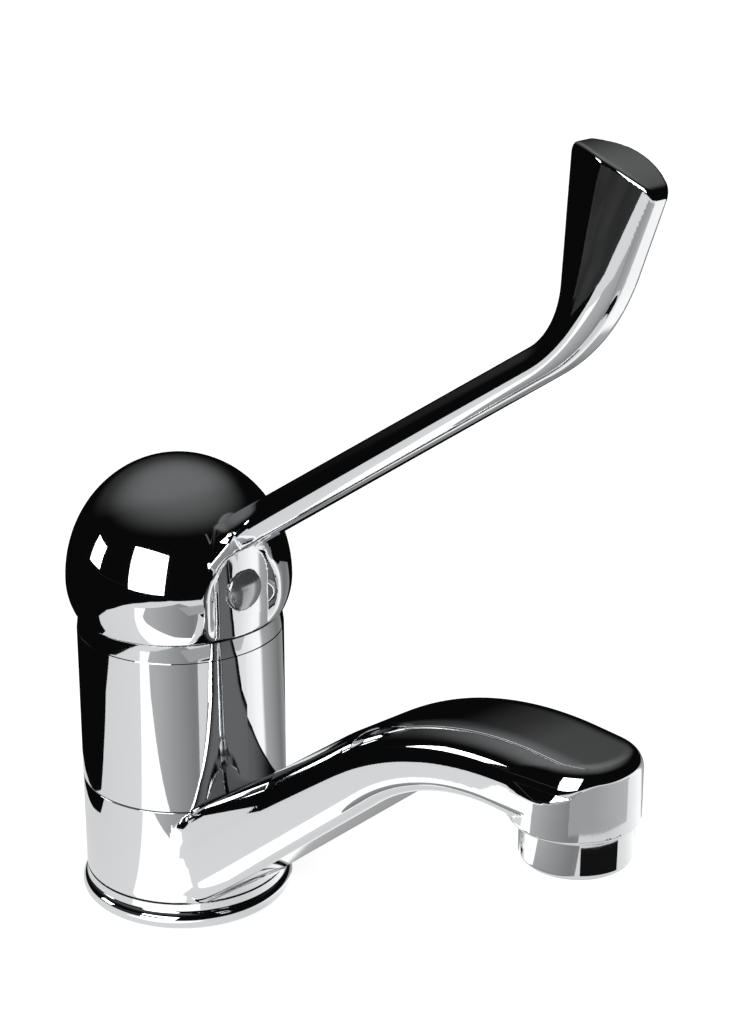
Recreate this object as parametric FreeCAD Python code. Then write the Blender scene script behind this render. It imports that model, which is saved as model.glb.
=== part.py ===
import FreeCAD, Part
import math
import os

# Single-lever basin mixer tap with a swivelling cast spout and a long elbow lever.
# Millimetres. +Z is up, the deck is z = 0, and spout and lever both point along +X.
# The whole tap is symmetric about the plane y = 0; the hot and cold ports mirror each other.

Vec = FreeCAD.Vector
UP = Vec(0, 0, 1)
ALONG_X = Vec(1, 0, 0)
ALONG_Y = Vec(0, 1, 0)

# Clearances
running_gap = 0.08
pin_gap = 0.05
press_gap = 0.03
axial_gap = 0.05
seam_gap = 0.3
rim_gap = 0.25

# Base ring and deck seal
base_proud = 1.2
base_h = 7.2
base_bead_r = 1.4
seal_proud = 0.3
seal_rim = 1.23
seal_w = 3.0
seal_h = 2.2
clip_h = 1.8
clip_grip = 0.95
clip_rise = 0.8

# Mixer body: visible upper shell, and the core that the spout ring turns on
body_r = 25.0
body_h = 38.4
spout_ring_wall = 6.5
glide_t = 0.8
glide_w = 1.2
spout_ring_h = 24.5
chamber_wall = 5.0
chamber_depth = 30.6
mouth_wall = 3.5
mouth_depth = 3.1
groove_depth = 1.6
groove_h = 2.2
groove_rise = 4.0
cord_r = 0.78

# Ports of the body
inlet_x = 6.5
inlet_y = 7.5
inlet_r = 4.5
inlet_depth = 12.0
passage_r = 2.6
outlet_x = -4.5
outlet_r = 3.4
port_r = 4.0
channel_depth = 2.4
channel_h = 9.6
stud_r = 3.4
stud_depth = 11.0

# Swivel stop
stop_r = 1.8
stop_inset = 3.0
stop_half_angle = 60.0
stop_slot_depth = 3.4
stop_sunk = 3.2
stop_stand = 2.6

# Spout
reach = 131.6
outlet_rise = 62.7
head_r = 13.8
head_back = 0.8
head_edge_r = 2.4
outlet_drop = 0.85
arch_t = 16.0
rise_top_deg = 36.6
rise_top_h = 27.95
rise_under_deg = 39.5
rise_under_h = 2.5
arch_top_r = 98.0
arch_under_r = 58.0
root_half_w = 16.2
bevel_drop = 6.2
crease_share = 0.45
belly_r = 4.2
spout_wall = 3.0
sweep_gap = 0.35

# Aerator
thread_r = 11.0
thread_h = 7.8
aerator_r = 11.9
aerator_h = 8.8
aerator_wall = 1.4
aerator_round = 1.6
insert_recess = 1.2
insert_h = 11.0
screen_t = 0.6
washer_h = 1.5
washer_w = 3.0
outlet_slot = 1.5
outlet_pitch = 3.0
outlet_grid_r = 6.9
chamber_rise = 3.0

# Collar under the handle
collar_inset = 0.8
collar_h = 4.4
collar_lip_h = 1.2
collar_wall = 1.5

# Handle dome
dome_overhang = 2.15
dome_rise = 7.85
dome_upright = 1.0976
skirt_overhang = 0.05
skirt_wall = 0.6
dome_wall = 3.2
panel_half_w = 9.5
button_rise = 11.6
socket_wall = 3.0

# Lever
lever_t = 9.5
bar_top_deg = 33.4
bar_under_deg = 34.1
bar_x = 60.0
bar_rise = 54.8
bar_t = 10.2
blade_inner_deg = 86.5
blade_outer_deg = 68.8
blade_end_x = 126.0
blade_end_rise = 134.2
blade_end_deg = -17.0
blade_w = 22.6
blade_crown = 1.9
blade_corner_r = 2.4
inner_bend_r = 19.0
outer_bend_r = 50.0
shoulder_half_w = 11.0
shoulder_low = 7.5
shoulder_lap = 6.2
shoulder_reach = 3.4

# Cartridge
housing_gap = 0.1
housing_wall = 2.7
housing_top_t = 3.0
cartridge_base_t = 4.4
port_seal_cord_r = 0.7
fixed_disc_t = 3.8
disc_rim = 1.2
moving_disc_t = 3.2
moving_disc_rim = 2.4
mixing_r = 6.6
mixing_depth = 1.6
driver_t = 4.6
driver_boss_r = 5.4
driver_boss_h = 3.2
turret_flange_h = 7.6
turret_step = 4.0
turret_neck_h = 5.0
pivot_drop = 5.6
pin_r = 2.0
stem_side = 9.0
stem_rise = 30.0
ball_r = 3.0
ball_drop = 8.0
lift_deg = 22.0
nut_flange_gap = 0.4
nut_flange_h = 2.0
nut_notches = 6
nut_notch_w = 4.0

# Grub screw and button
grub_r = 2.5
grub_length = 9.0
button_r = 4.75
button_sunk = 1.2
button_plug_r = 3.3
button_plug_h = 4.0
button_crown = 1.1
button_edge = 0.5

# Radii worked out from the body's
bore_r = body_r - spout_ring_wall
core_r = bore_r - running_gap
clip_outer_r = core_r + clip_grip
seal_inner_r = clip_outer_r + seal_rim
seal_outer_r = seal_inner_r + seal_w
base_r = body_r + base_proud
stop_pitch_r = body_r - stop_inset
mouth_r = body_r - mouth_wall
chamber_r = body_r - chamber_wall
collar_r = body_r - collar_inset
dome_r = body_r + dome_overhang
dome_crown = dome_r * dome_upright
cavity_r = dome_r - dome_wall
skirt_r = body_r + skirt_overhang
nut_flange_r = collar_r - collar_wall - nut_flange_gap
housing_room_r = chamber_r - housing_gap - housing_wall
fixed_disc_r = housing_room_r - disc_rim
moving_disc_r = fixed_disc_r - moving_disc_rim
turret_neck_r = housing_room_r - turret_step

# Heights and places worked out from the sizes above
clip_z = seal_proud + clip_rise
ring_z = base_h + seam_gap
ring_top = ring_z + spout_ring_h
shoulder_z = ring_top + seam_gap
body_top = shoulder_z + body_h
floor_z = body_top - chamber_depth
collar_top = body_top + collar_h
rim_z = collar_top + rim_gap
dome_z = rim_z + dome_rise
button_z = rim_z + button_rise
pivot_z = body_top - pivot_drop
stem_top = pivot_z + stem_rise
port_z = ring_z + spout_ring_h / 2
outlet_h = ring_z + outlet_rise
arch_under = outlet_h + outlet_drop
arch_top = arch_under + arch_t
head_z = arch_top - arch_t / 2
head_x = reach - head_back
blade_end_z = rim_z + blade_end_rise
bar_top_z = rim_z + bar_rise
bar_under_z = bar_top_z - bar_t
bar_foot_z = bar_under_z - (bar_x - body_r) * math.tan(math.radians(bar_under_deg))


def cyl(radius, height, z, x=0.0, y=0.0):
    return Part.makeCylinder(radius, height, Vec(x, y, z))


def rod_x(radius, x0, x1, z):
    return Part.makeCylinder(radius, x1 - x0, Vec(x0, 0, z), ALONG_X)


def rod_y(radius, length, x, z):
    return Part.makeCylinder(radius, length, Vec(x, -length / 2, z), ALONG_Y)


def tube(outer, inner, height, z):
    return cyl(outer, height, z).cut(cyl(inner, height, z))


def block(x0, x1, half_w, z0, z1):
    return Part.makeBox(x1 - x0, 2 * half_w, z1 - z0, Vec(x0, -half_w, z0))


def seal_ring(mean_r, cord, z, x=0.0, y=0.0):
    return Part.makeTorus(mean_r, cord, Vec(x, y, z))


def turned(points):
    # Solid of revolution about Z from (r, z) points, drawn as straight edges.
    loop = [Vec(r, 0, z) for r, z in points]
    wire = Part.makePolygon(loop + loop[:1])
    return Part.Face(wire).revolve(Vec(0, 0, 0), UP, 360)


def save(name, shape):
    if shape.ShapeType == "Compound" and len(shape.Solids) == 1:
        shape = shape.Solids[0]
    shape.exportStep("parts/" + name + ".step")
    print("%-22s solids %d  volume %.0f" % (name, len(shape.Solids), shape.Volume))


# Base: chrome ring on the deck, its seal, and the clip that holds it on the core

def base_ring():
    skirt = base_r - body_r
    profile = [
        (core_r + press_gap, seal_proud),
        (base_r - base_bead_r / 2, seal_proud),
        (base_r, seal_proud + base_bead_r / 2),
        (base_r, base_h / 2),
        (base_r - skirt / 2, base_h - base_bead_r),
        (body_r, base_h - base_bead_r / 3),
        (body_r - skirt / 4, base_h),
        (core_r + press_gap, base_h),
    ]
    ring = turned(profile)
    ring = ring.cut(tube(seal_outer_r, seal_inner_r, seal_h - seal_proud, seal_proud))
    ring = ring.cut(cyl(clip_outer_r + press_gap, clip_rise + clip_h, seal_proud))
    return ring.cut(cyl(stop_r, stop_sunk, base_h - stop_sunk, -stop_pitch_r))


def deck_seal():
    return tube(seal_outer_r - press_gap, seal_inner_r + press_gap, seal_h, 0)


def base_clip():
    # Split ring that snaps into the core's lowest groove.
    ring = tube(clip_outer_r, core_r - clip_grip + press_gap, clip_h, clip_z)
    return ring.cut(block(-base_r, 0, clip_grip, 0, base_h))


def swivel_stop_pin():
    return cyl(stop_r - press_gap, stop_sunk + stop_stand, base_h - stop_sunk, -stop_pitch_r)


def glide_ring(z):
    return tube(bore_r + glide_w, core_r + press_gap, glide_t, z)


# Body casting: the upper shell carries the cartridge, the core carries the spout ring

def mixer_body():
    shell = cyl(body_r, body_h, shoulder_z)
    core = cyl(core_r, shoulder_z, 0)
    body = shell.fuse(core)
    body = body.cut(cyl(chamber_r, chamber_depth, floor_z))
    body = body.cut(cyl(mouth_r, mouth_depth, body_top - mouth_depth))
    for z in (ring_z + groove_rise, ring_top - groove_rise):
        body = body.cut(tube(core_r, core_r - groove_depth, groove_h, z - groove_h / 2))
    body = body.cut(tube(core_r, core_r - clip_grip, clip_h, clip_z))
    for side in (-1, 1):
        body = body.cut(cyl(inlet_r, inlet_depth, 0, inlet_x, side * inlet_y))
        body = body.cut(cyl(passage_r, floor_z, 0, inlet_x, side * inlet_y))
    body = body.cut(cyl(outlet_r, floor_z - port_z, port_z, outlet_x))
    body = body.cut(rod_x(port_r, -body_r, outlet_x, port_z).common(cyl(core_r + 1, body_r, 0)))
    return body.cut(cyl(stud_r, stud_depth, 0))


def spout_seal(z):
    return seal_ring(core_r - groove_depth + press_gap + cord_r, cord_r, z)


def collar_ring():
    ring = tube(collar_r, collar_r - collar_wall, collar_h, body_top)
    foot = tube(body_r, collar_r - collar_wall, collar_lip_h / 2, body_top)
    lip = tube(collar_r, mouth_r + press_gap, collar_lip_h, body_top)
    return ring.fuse([foot, lip]).removeSplitter()


# Spout: swivelling ring, rising bevelled arm and round head, with the waterway cored through

def arm_section(top, under, wall):
    # Closed outline across the arm: flat belly, round corners, upright sides, bevels and a flat top.
    # The width shrinks evenly from the root to the head; a wall thickness gives the cored inside.
    centre = (top + under) * 0.5
    share = min(1.0, max(0.0, (centre.x - body_r) / (head_x - body_r)))
    half_w = root_half_w + (head_r - root_half_w) * share - wall
    normal = (top - under) * (1 / top.distanceToPoint(under))
    corner_r = belly_r - wall * 0.8
    drop = bevel_drop - wall * 0.8

    def at(y, n):
        return centre + ALONG_Y * y + normal * n

    high = top.distanceToPoint(under) / 2 - wall
    low = -high
    belly = half_w - corner_r
    crease = half_w * crease_share
    knee = corner_r * (1 - math.sqrt(0.5))
    bevel_y = (half_w + crease) / 2 + 0.16 * (half_w - crease)
    bevel_n = high - drop / 2 + 0.16 * drop
    edges = [
        Part.makeLine(at(-belly, low), at(belly, low)),
        Part.Arc(at(belly, low), at(half_w - knee, low + knee), at(half_w, low + corner_r)).toShape(),
        Part.makeLine(at(half_w, low + corner_r), at(half_w, high - drop)),
        Part.Arc(at(half_w, high - drop), at(bevel_y, bevel_n), at(crease, high)).toShape(),
        Part.makeLine(at(crease, high), at(-crease, high)),
        Part.Arc(at(-crease, high), at(-bevel_y, bevel_n), at(-half_w, high - drop)).toShape(),
        Part.makeLine(at(-half_w, high - drop), at(-half_w, low + corner_r)),
        Part.Arc(at(-half_w, low + corner_r), at(-half_w + knee, low + knee), at(-belly, low)).toShape(),
    ]
    return Part.Wire(edges)


def bent_edge(corner, in_deg, out_deg, radius):
    # Edge of two straight runs and the arc between them; gives the arc's length and a point on it.
    turn = math.radians(out_deg - in_deg)
    tail = radius * math.tan(abs(turn) / 2)
    arc = radius * abs(turn)
    d_in = Vec(math.cos(math.radians(in_deg)), 0, math.sin(math.radians(in_deg)))
    d_out = Vec(math.cos(math.radians(out_deg)), 0, math.sin(math.radians(out_deg)))
    side = Vec(-d_in.z, 0, d_in.x) * math.copysign(1, turn)
    start = corner - d_in * tail

    def point(s):
        if s <= 0:
            return start + d_in * s
        if s >= arc:
            return corner + d_out * (tail + s - arc)
        swept = s / radius
        return start + d_in * (radius * math.sin(swept)) + side * (radius * (1 - math.cos(swept)))

    return arc, tail, point


def bent_bar(runs):
    # A straight run, a bend and a straight run of cross-sections, sewn into one skin and closed.
    faces = [Part.Face(runs[0][0]), Part.Face(runs[-1][-1])]
    for number, sections in enumerate(runs):
        faces += Part.makeLoft(sections, False, number != 1).Faces
    skin = Part.makeShell(faces)
    skin.sewShape()
    bar = Part.makeSolid(skin)
    if bar.Volume < 0:
        bar.reverse()
    return bar


def spout_arm(wall):
    edges = []
    for z, root_h, in_deg, radius in ((arch_top, rise_top_h, rise_top_deg, arch_top_r),
                                      (arch_under, rise_under_h, rise_under_deg, arch_under_r)):
        rise = math.tan(math.radians(in_deg))
        corner = Vec(body_r + (z - ring_z - root_h) / rise, 0, z)
        arc, tail, point = bent_edge(corner, in_deg, 0.0, radius)
        root = tail - (corner.x - bore_r * 0.6) / math.cos(math.radians(in_deg))
        front = arc + head_x + head_r + 2 - (corner.x + tail)
        edges.append([[point(s) for s in (root, 0.0)],
                      [point(arc * k / 5) for k in range(6)],
                      [point(s) for s in (arc, front)]])

    arm = bent_bar([[arm_section(top, under, wall) for top, under in zip(*run)] for run in zip(*edges)])
    room = block(0, head_x, 2 * root_half_w, ring_z + wall, 2 * arch_top)
    return arm.common(room.fuse(head_end(head_r - wall, arch_top - wall)))


def head_end(radius, top):
    # Upright cylinder that rounds off the front of the head, with its top edge rounded as well.
    post = cyl(radius, top, 0, head_x)
    rim = [e for e in post.Edges if e.BoundBox.ZMin > top - 0.01]
    return post.makeFillet(head_edge_r, rim)


def spout():
    ring = cyl(body_r, spout_ring_h, ring_z)
    head = cyl(head_r, head_z - outlet_h, outlet_h, head_x)
    arm = spout_arm(0.0).cut(cyl(body_r + sweep_gap, arch_top, ring_top))
    body = ring.fuse([arm, head])
    core = spout_arm(spout_wall).cut(cyl(body_r + sweep_gap + spout_wall, arch_top, ring_top - spout_wall))
    body = body.cut(core.cut(cyl(bore_r + channel_depth, ring_z + spout_ring_h, 0)))
    body = body.cut(rod_x(port_r, bore_r, body_r + spout_wall, port_z))
    body = body.cut(cyl(bore_r, spout_ring_h, ring_z))
    pocket = glide_t + axial_gap - seam_gap
    for z in (ring_z, ring_top - pocket):
        body = body.cut(cyl(bore_r + glide_w + running_gap, pocket, z))
    body = body.cut(tube(bore_r + channel_depth, bore_r - 1, channel_h, port_z - channel_h / 2))
    body = body.cut(cyl(thread_r, thread_h, outlet_h, reach))
    body = body.cut(cyl(thread_r - washer_w, head_z + chamber_rise - outlet_h, outlet_h, reach))
    return body.cut(stop_slot())


def stop_slot():
    # Arc slot in the underside of the ring; the stop pin meets its ends at the limits of the swivel.
    inner = stop_pitch_r - stop_r - running_gap
    outer = stop_pitch_r + stop_r + running_gap
    slot = Part.makeCylinder(outer, stop_slot_depth, Vec(0, 0, ring_z), UP, 2 * stop_half_angle)
    slot = slot.cut(cyl(inner, stop_slot_depth, ring_z))
    slot.rotate(Vec(0, 0, 0), UP, 180 - stop_half_angle)
    for side in (-1, 1):
        angle = math.radians(180 + side * stop_half_angle)
        x, y = stop_pitch_r * math.cos(angle), stop_pitch_r * math.sin(angle)
        slot = slot.fuse(cyl(stop_r + running_gap, stop_slot_depth, ring_z, x, y))
    return slot


# Aerator: threaded chrome housing, plastic insert with its outlet grid, screen and washer

def aerator_housing():
    skirt = cyl(aerator_r, aerator_h, outlet_h - aerator_h, reach)
    foot = [e for e in skirt.Edges if abs(e.BoundBox.ZMax - (outlet_h - aerator_h)) < 0.01]
    skirt = skirt.makeFillet(aerator_round, foot)
    thread = cyl(thread_r - press_gap, thread_h - washer_h, outlet_h, reach)
    housing = skirt.fuse(thread)
    bore = thread_r - aerator_wall
    return housing.cut(cyl(bore, aerator_h + thread_h, outlet_h - aerator_h, reach))


def aerator_insert():
    z = outlet_h - aerator_h + insert_recess
    body = cyl(thread_r - aerator_wall - press_gap, insert_h, z, reach)
    body = body.cut(cyl(outlet_grid_r, insert_h - 2 * screen_t, z + 2 * screen_t, reach))
    count = int(outlet_grid_r / outlet_pitch)
    cells = []
    for i in range(-count, count + 1):
        for j in range(-count, count + 1):
            x, y = i * outlet_pitch, j * outlet_pitch
            if math.hypot(x, y) + outlet_slot < outlet_grid_r:
                corner = Vec(reach + x - outlet_slot / 2, y - outlet_slot / 2, z)
                cells.append(Part.makeBox(outlet_slot, outlet_slot, insert_h, corner))
    return body.cut(Part.makeCompound(cells))


def aerator_screen():
    z = outlet_h - aerator_h + insert_recess + insert_h
    plate = cyl(thread_r - aerator_wall - press_gap, screen_t, z, reach)
    hole = outlet_slot / 2
    holes = []
    for ring in (1, 2, 3):
        for k in range(6 * ring):
            turn = 2 * math.pi * k / (6 * ring)
            r = ring * outlet_pitch * 0.85
            holes.append(cyl(hole, screen_t, z, reach + r * math.cos(turn), r * math.sin(turn)))
    return plate.cut(Part.makeCompound(holes))


def aerator_washer():
    z = outlet_h + thread_h - washer_h
    ring = cyl(thread_r - press_gap, washer_h, z, reach)
    return ring.cut(cyl(thread_r - washer_w, washer_h, z, reach))


# Cartridge: from the chamber floor up

def port_places():
    return ((inlet_x, inlet_y, passage_r), (inlet_x, -inlet_y, passage_r), (outlet_x, 0.0, outlet_r))


def cartridge_base():
    plate = cyl(chamber_r - housing_gap, cartridge_base_t, floor_z)
    for x, y, r in port_places():
        plate = plate.cut(cyl(r, cartridge_base_t, floor_z, x, y))
        plate = plate.cut(cyl(r + 3 * port_seal_cord_r, 2 * port_seal_cord_r, floor_z, x, y))
    return plate


def cartridge_port_seals():
    z = floor_z + port_seal_cord_r
    rings = [seal_ring(r + 1.7 * port_seal_cord_r, port_seal_cord_r, z, x, y) for x, y, r in port_places()]
    return Part.makeCompound(rings)


disc_z = floor_z + cartridge_base_t
slide_z = disc_z + fixed_disc_t + axial_gap
driver_z = slide_z + moving_disc_t
turret_z = driver_z + driver_t + axial_gap
housing_top = body_top - mouth_depth


def fixed_disc():
    disc = cyl(fixed_disc_r, fixed_disc_t, disc_z)
    for x, y, r in port_places():
        disc = disc.cut(cyl(r, fixed_disc_t, disc_z, x, y))
    return disc


def moving_disc():
    # The blind recess underneath is where hot and cold water meet.
    return cyl(moving_disc_r, moving_disc_t, slide_z).cut(cyl(mixing_r, mixing_depth, slide_z))


def disc_driver():
    driver = cyl(moving_disc_r, driver_t, driver_z)
    driver = driver.fuse(cyl(driver_boss_r, driver_t + driver_boss_h, driver_z))
    pocket = cyl(ball_r + 2 * running_gap, driver_t + driver_boss_h, driver_z + driver_t / 2)
    return driver.cut(pocket)


def cartridge_housing():
    shell = cyl(chamber_r - housing_gap, housing_top - disc_z, disc_z)
    room_h = housing_top - housing_top_t - disc_z
    shell = shell.cut(cyl(housing_room_r, room_h, disc_z))
    shell = shell.cut(cyl(turret_neck_r + running_gap, housing_top_t + 1, housing_top - housing_top_t))
    seat = tube(housing_room_r, fixed_disc_r + running_gap, fixed_disc_t, disc_z)
    return shell.fuse(seat).removeSplitter()


def turret():
    flange_top = housing_top - housing_top_t - axial_gap
    flange = cyl(housing_room_r - running_gap, flange_top - turret_z, turret_z)
    neck = cyl(turret_neck_r, housing_top + turret_neck_h - mouth_depth - turret_z, turret_z)
    body = flange.fuse(neck)
    lean = math.tan(math.radians(lift_deg))
    half = stem_side / 2
    top = housing_top + turret_neck_h - mouth_depth
    back = -(half + (top - pivot_z) * lean + 2 * rim_gap)
    front = half + (pivot_z - turret_z) * lean + 2 * rim_gap
    body = body.cut(block(back, front, half + running_gap, turret_z, top))
    stroke = ball_drop * math.radians(lift_deg)
    boss = driver_boss_r + 2 * rim_gap
    room_top = driver_z + driver_t + driver_boss_h + rim_gap
    body = body.cut(block(-boss, boss + stroke, boss, turret_z, room_top))
    return body.cut(rod_y(pin_r, 2 * turret_neck_r, 0, pivot_z))


def pivot_pin():
    return rod_y(pin_r - press_gap / 2, 2 * turret_neck_r - 2, 0, pivot_z)


def stem():
    half = stem_side / 2
    foot = pivot_z - half
    body = block(-half, half, half, foot, stem_top)
    body = body.fuse(cyl(ball_r * 0.7, foot - pivot_z + ball_drop, pivot_z - ball_drop))
    body = body.fuse(Part.makeSphere(ball_r, Vec(0, 0, pivot_z - ball_drop)))
    return body.cut(rod_y(pin_r + pin_gap, stem_side, 0, pivot_z))


def cartridge_nut():
    body = cyl(mouth_r - press_gap, mouth_depth + collar_lip_h, housing_top)
    body = body.fuse(cyl(nut_flange_r, nut_flange_h, body_top + collar_lip_h))
    body = body.cut(cyl(turret_neck_r + 1, mouth_depth + collar_h, housing_top))
    for k in range(nut_notches):
        notch = block(nut_flange_r - 3, nut_flange_r + 1, nut_notch_w / 2, body_top + collar_lip_h, rim_z)
        notch.rotate(Vec(0, 0, 0), UP, 360 * k / nut_notches)
        body = body.cut(notch)
    return body


# Handle: dome and elbow lever in one casting

def line_hit(p, a, q, b):
    # Crossing point of two lines in the XZ plane, each given by a point and its angle in degrees.
    da = Vec(math.cos(math.radians(a)), 0, math.sin(math.radians(a)))
    db = Vec(math.cos(math.radians(b)), 0, math.sin(math.radians(b)))
    gap = q - p
    s = (gap.x * db.z - gap.z * db.x) / (da.x * db.z - da.z * db.x)
    return p + da * s


def lever_section(inner, outer):
    # Outline between the inner (upper) edge and the outer (under) edge, with a crease along each side.
    span = inner - outer
    half = lever_t / 2

    def at(y, share):
        return outer + span * share + ALONG_Y * y

    edges = [
        Part.makeLine(at(-half * 0.6, 0), at(half * 0.6, 0)),
        Part.Arc(at(half * 0.6, 0), at(half * 0.98, 0.3), at(half, 0.66)).toShape(),
        Part.makeLine(at(half, 0.66), at(half * 0.4, 1)),
        Part.makeLine(at(half * 0.4, 1), at(-half * 0.4, 1)),
        Part.makeLine(at(-half * 0.4, 1), at(-half, 0.66)),
        Part.Arc(at(-half, 0.66), at(-half * 0.98, 0.3), at(-half * 0.6, 0)).toShape(),
    ]
    return Part.Wire(edges)


def lever():
    top = Vec(bar_x, 0, bar_top_z)
    under = Vec(bar_x, 0, bar_under_z)
    across = math.radians(blade_end_deg)
    end_inner = Vec(blade_end_x, 0, blade_end_z)
    end_outer = end_inner + Vec(math.cos(across), 0, math.sin(across)) * blade_w
    inner_corner = line_hit(top, bar_top_deg, end_inner, blade_inner_deg)
    outer_corner = line_hit(under, bar_under_deg, end_outer, blade_outer_deg)

    edges = (
        (inner_corner, bar_top_deg, blade_inner_deg, inner_bend_r, end_inner),
        (outer_corner, bar_under_deg, blade_outer_deg, outer_bend_r, end_outer),
    )
    lines = []
    for corner, in_deg, out_deg, radius, end in edges:
        arc, tail, point = bent_edge(corner, in_deg, out_deg, radius)
        root = tail - (corner.x - cavity_r * 0.75) / math.cos(math.radians(in_deg))
        last = arc + corner.distanceToPoint(end) - tail + blade_crown + 1
        lines.append([[point(s) for s in (root, 0.0)],
                      [point(arc * k / 5) for k in range(6)],
                      [point(s) for s in (arc, last)]])
    solid = bent_bar([[lever_section(a, b) for a, b in zip(*run)] for run in zip(*lines)])

    # The tip is rounded: what lies beyond the chord and outside the crown's cylinder comes off.
    crown_r = (blade_w ** 2 / 4 + blade_crown ** 2) / (2 * blade_crown)
    middle = (end_inner + end_outer) * 0.5
    out = Vec(-math.sin(across), 0, math.cos(across))
    centre = middle + out * (blade_crown - crown_r)
    tip = Part.makeBox(4 * blade_w, 4 * lever_t, 2 * blade_w, Vec(-2 * blade_w, -2 * lever_t, 0))
    tip.rotate(Vec(0, 0, 0), ALONG_Y, -math.degrees(across))
    tip.translate(middle)
    crown = Part.makeCylinder(crown_r, 4 * lever_t, Vec(centre.x, -2 * lever_t, centre.z), ALONG_Y)
    solid = solid.cut(tip.cut(crown))
    corners = [e for e in solid.Edges if e.BoundBox.ZMin > blade_end_z - 12 and is_tip_corner(e)]
    return solid.makeFillet(blade_corner_r, corners) if corners else solid


def is_tip_corner(edge):
    # Straight edges that run across the blade's thickness at its tip.
    box = edge.BoundBox
    return box.YLength > lever_t * 0.3 and box.XLength < 0.5 and box.ZLength < 0.5


def shoulder():
    # The lever's root spreads to the width of the front panel.
    low, high = button_z + shoulder_low, bar_foot_z + shoulder_lap
    narrow = lever_t / 2 - 0.3
    front = [(-shoulder_half_w, button_z), (shoulder_half_w, button_z), (shoulder_half_w, low),
             (narrow, high), (-narrow, high), (-shoulder_half_w, low)]
    loop = [Vec(0, y, z) for y, z in front]
    slab = Part.Face(Part.makePolygon(loop + loop[:1])).extrude(Vec(2 * dome_r, 0, 0))
    near = body_r - 1.0
    far = near + shoulder_reach
    plan = [(cavity_r * 0.6, -shoulder_half_w), (near, -shoulder_half_w), (far, -narrow),
            (far, narrow), (near, shoulder_half_w), (cavity_r * 0.6, shoulder_half_w)]
    loop = [Vec(x, y, 0) for x, y in plan]
    column = Part.Face(Part.makePolygon(loop + loop[:1])).extrude(Vec(0, 0, 2 * high))
    return slab.common(column)


def front_panel():
    # Shallow arched recess over the button, cut back to the line of the body.
    outline = block(0, 2 * dome_r, panel_half_w, rim_z - 1, button_z)
    outline = outline.fuse(rod_x(panel_half_w, 0, 2 * dome_r, button_z))
    return outline.cut(cyl(body_r, 2 * dome_r, rim_z - 1))


def dome(wall):
    # Upright half-ellipse above its widest circle and a tangent arc below it, turned about Z.
    # The inside of the wall is the same shape drawn one wall smaller.
    wide = dome_r - wall
    tuck_r = (dome_rise ** 2 + (dome_r - skirt_r) ** 2) / (2 * (dome_r - skirt_r))
    top = Vec(0, 0, dome_z + dome_crown - wall)
    side = Vec(wide, 0, dome_z)
    crown = Part.ArcOfEllipse(Part.Ellipse(top, side, Vec(0, 0, dome_z)), 0, math.pi / 2)
    foot = Vec(skirt_r - wall, 0, rim_z)
    half = math.asin(dome_rise / tuck_r) / 2
    middle = Vec(wide - tuck_r * (1 - math.cos(half)), 0, dome_z - tuck_r * math.sin(half))
    loop = Part.Wire([
        crown.toShape(),
        Part.Arc(side, middle, foot).toShape(),
        Part.makeLine(foot, Vec(0, 0, rim_z)),
        Part.makeLine(Vec(0, 0, rim_z), top),
    ])
    return Part.Face(loop).revolve(Vec(0, 0, 0), UP, 360)


def handle_cavity():
    # Hollow of the dome, opened to the thin skirt that swings down outside the collar.
    throat = Part.makeCone(skirt_r - skirt_wall, cavity_r * 0.93, dome_rise * 0.7, Vec(0, 0, rim_z))
    return dome(dome_wall).fuse(throat)


def lever_handle():
    body = dome(0.0).fuse([shoulder(), lever()])
    body = body.cut(front_panel())
    body = body.cut(handle_cavity())
    half = stem_side / 2
    post_r = half * math.sqrt(2) + socket_wall
    boss = cyl(post_r, dome_crown + dome_rise, button_z - button_r - 1)
    boss = boss.fuse(rod_x(button_r + 1, 0, cavity_r, button_z))
    boss = boss.common(dome(dome_wall - 1))
    body = body.fuse(boss)
    body = body.cut(block(-half - pin_gap, half + pin_gap, half + pin_gap, rim_z, stem_top + pin_gap))
    body = body.cut(rod_x(grub_r, half, body_r, button_z))
    body = body.cut(rod_x(button_plug_r, body_r - button_sunk - button_plug_h, body_r, button_z))
    return body.cut(rod_x(button_r + press_gap, body_r - button_sunk, 2 * body_r, button_z))


def grub_screw():
    start = stem_side / 2 + pin_gap
    body = rod_x(grub_r - press_gap, start, start + grub_length, button_z)
    flats = grub_r * 0.55
    hexagon = [Vec(start + grub_length / 2, flats * math.cos(k * math.pi / 3),
                   button_z + flats * math.sin(k * math.pi / 3)) for k in range(6)]
    socket = Part.Face(Part.makePolygon(hexagon + hexagon[:1])).extrude(Vec(grub_length, 0, 0))
    return body.cut(socket)


def button_cap():
    face = body_r - button_sunk
    plug = rod_x(button_plug_r - press_gap, face - button_plug_h, face, button_z)
    disc = rod_x(button_r, face, face + button_sunk + button_edge, button_z)
    crown_r = (button_r ** 2 + button_crown ** 2) / (2 * button_crown)
    rim_x = face + button_sunk + button_edge
    ball = Part.makeSphere(crown_r, Vec(rim_x + button_crown - crown_r, 0, button_z))
    crown = ball.common(rod_x(button_r, rim_x, rim_x + button_crown, button_z))
    return plug.fuse([disc, crown])


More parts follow.
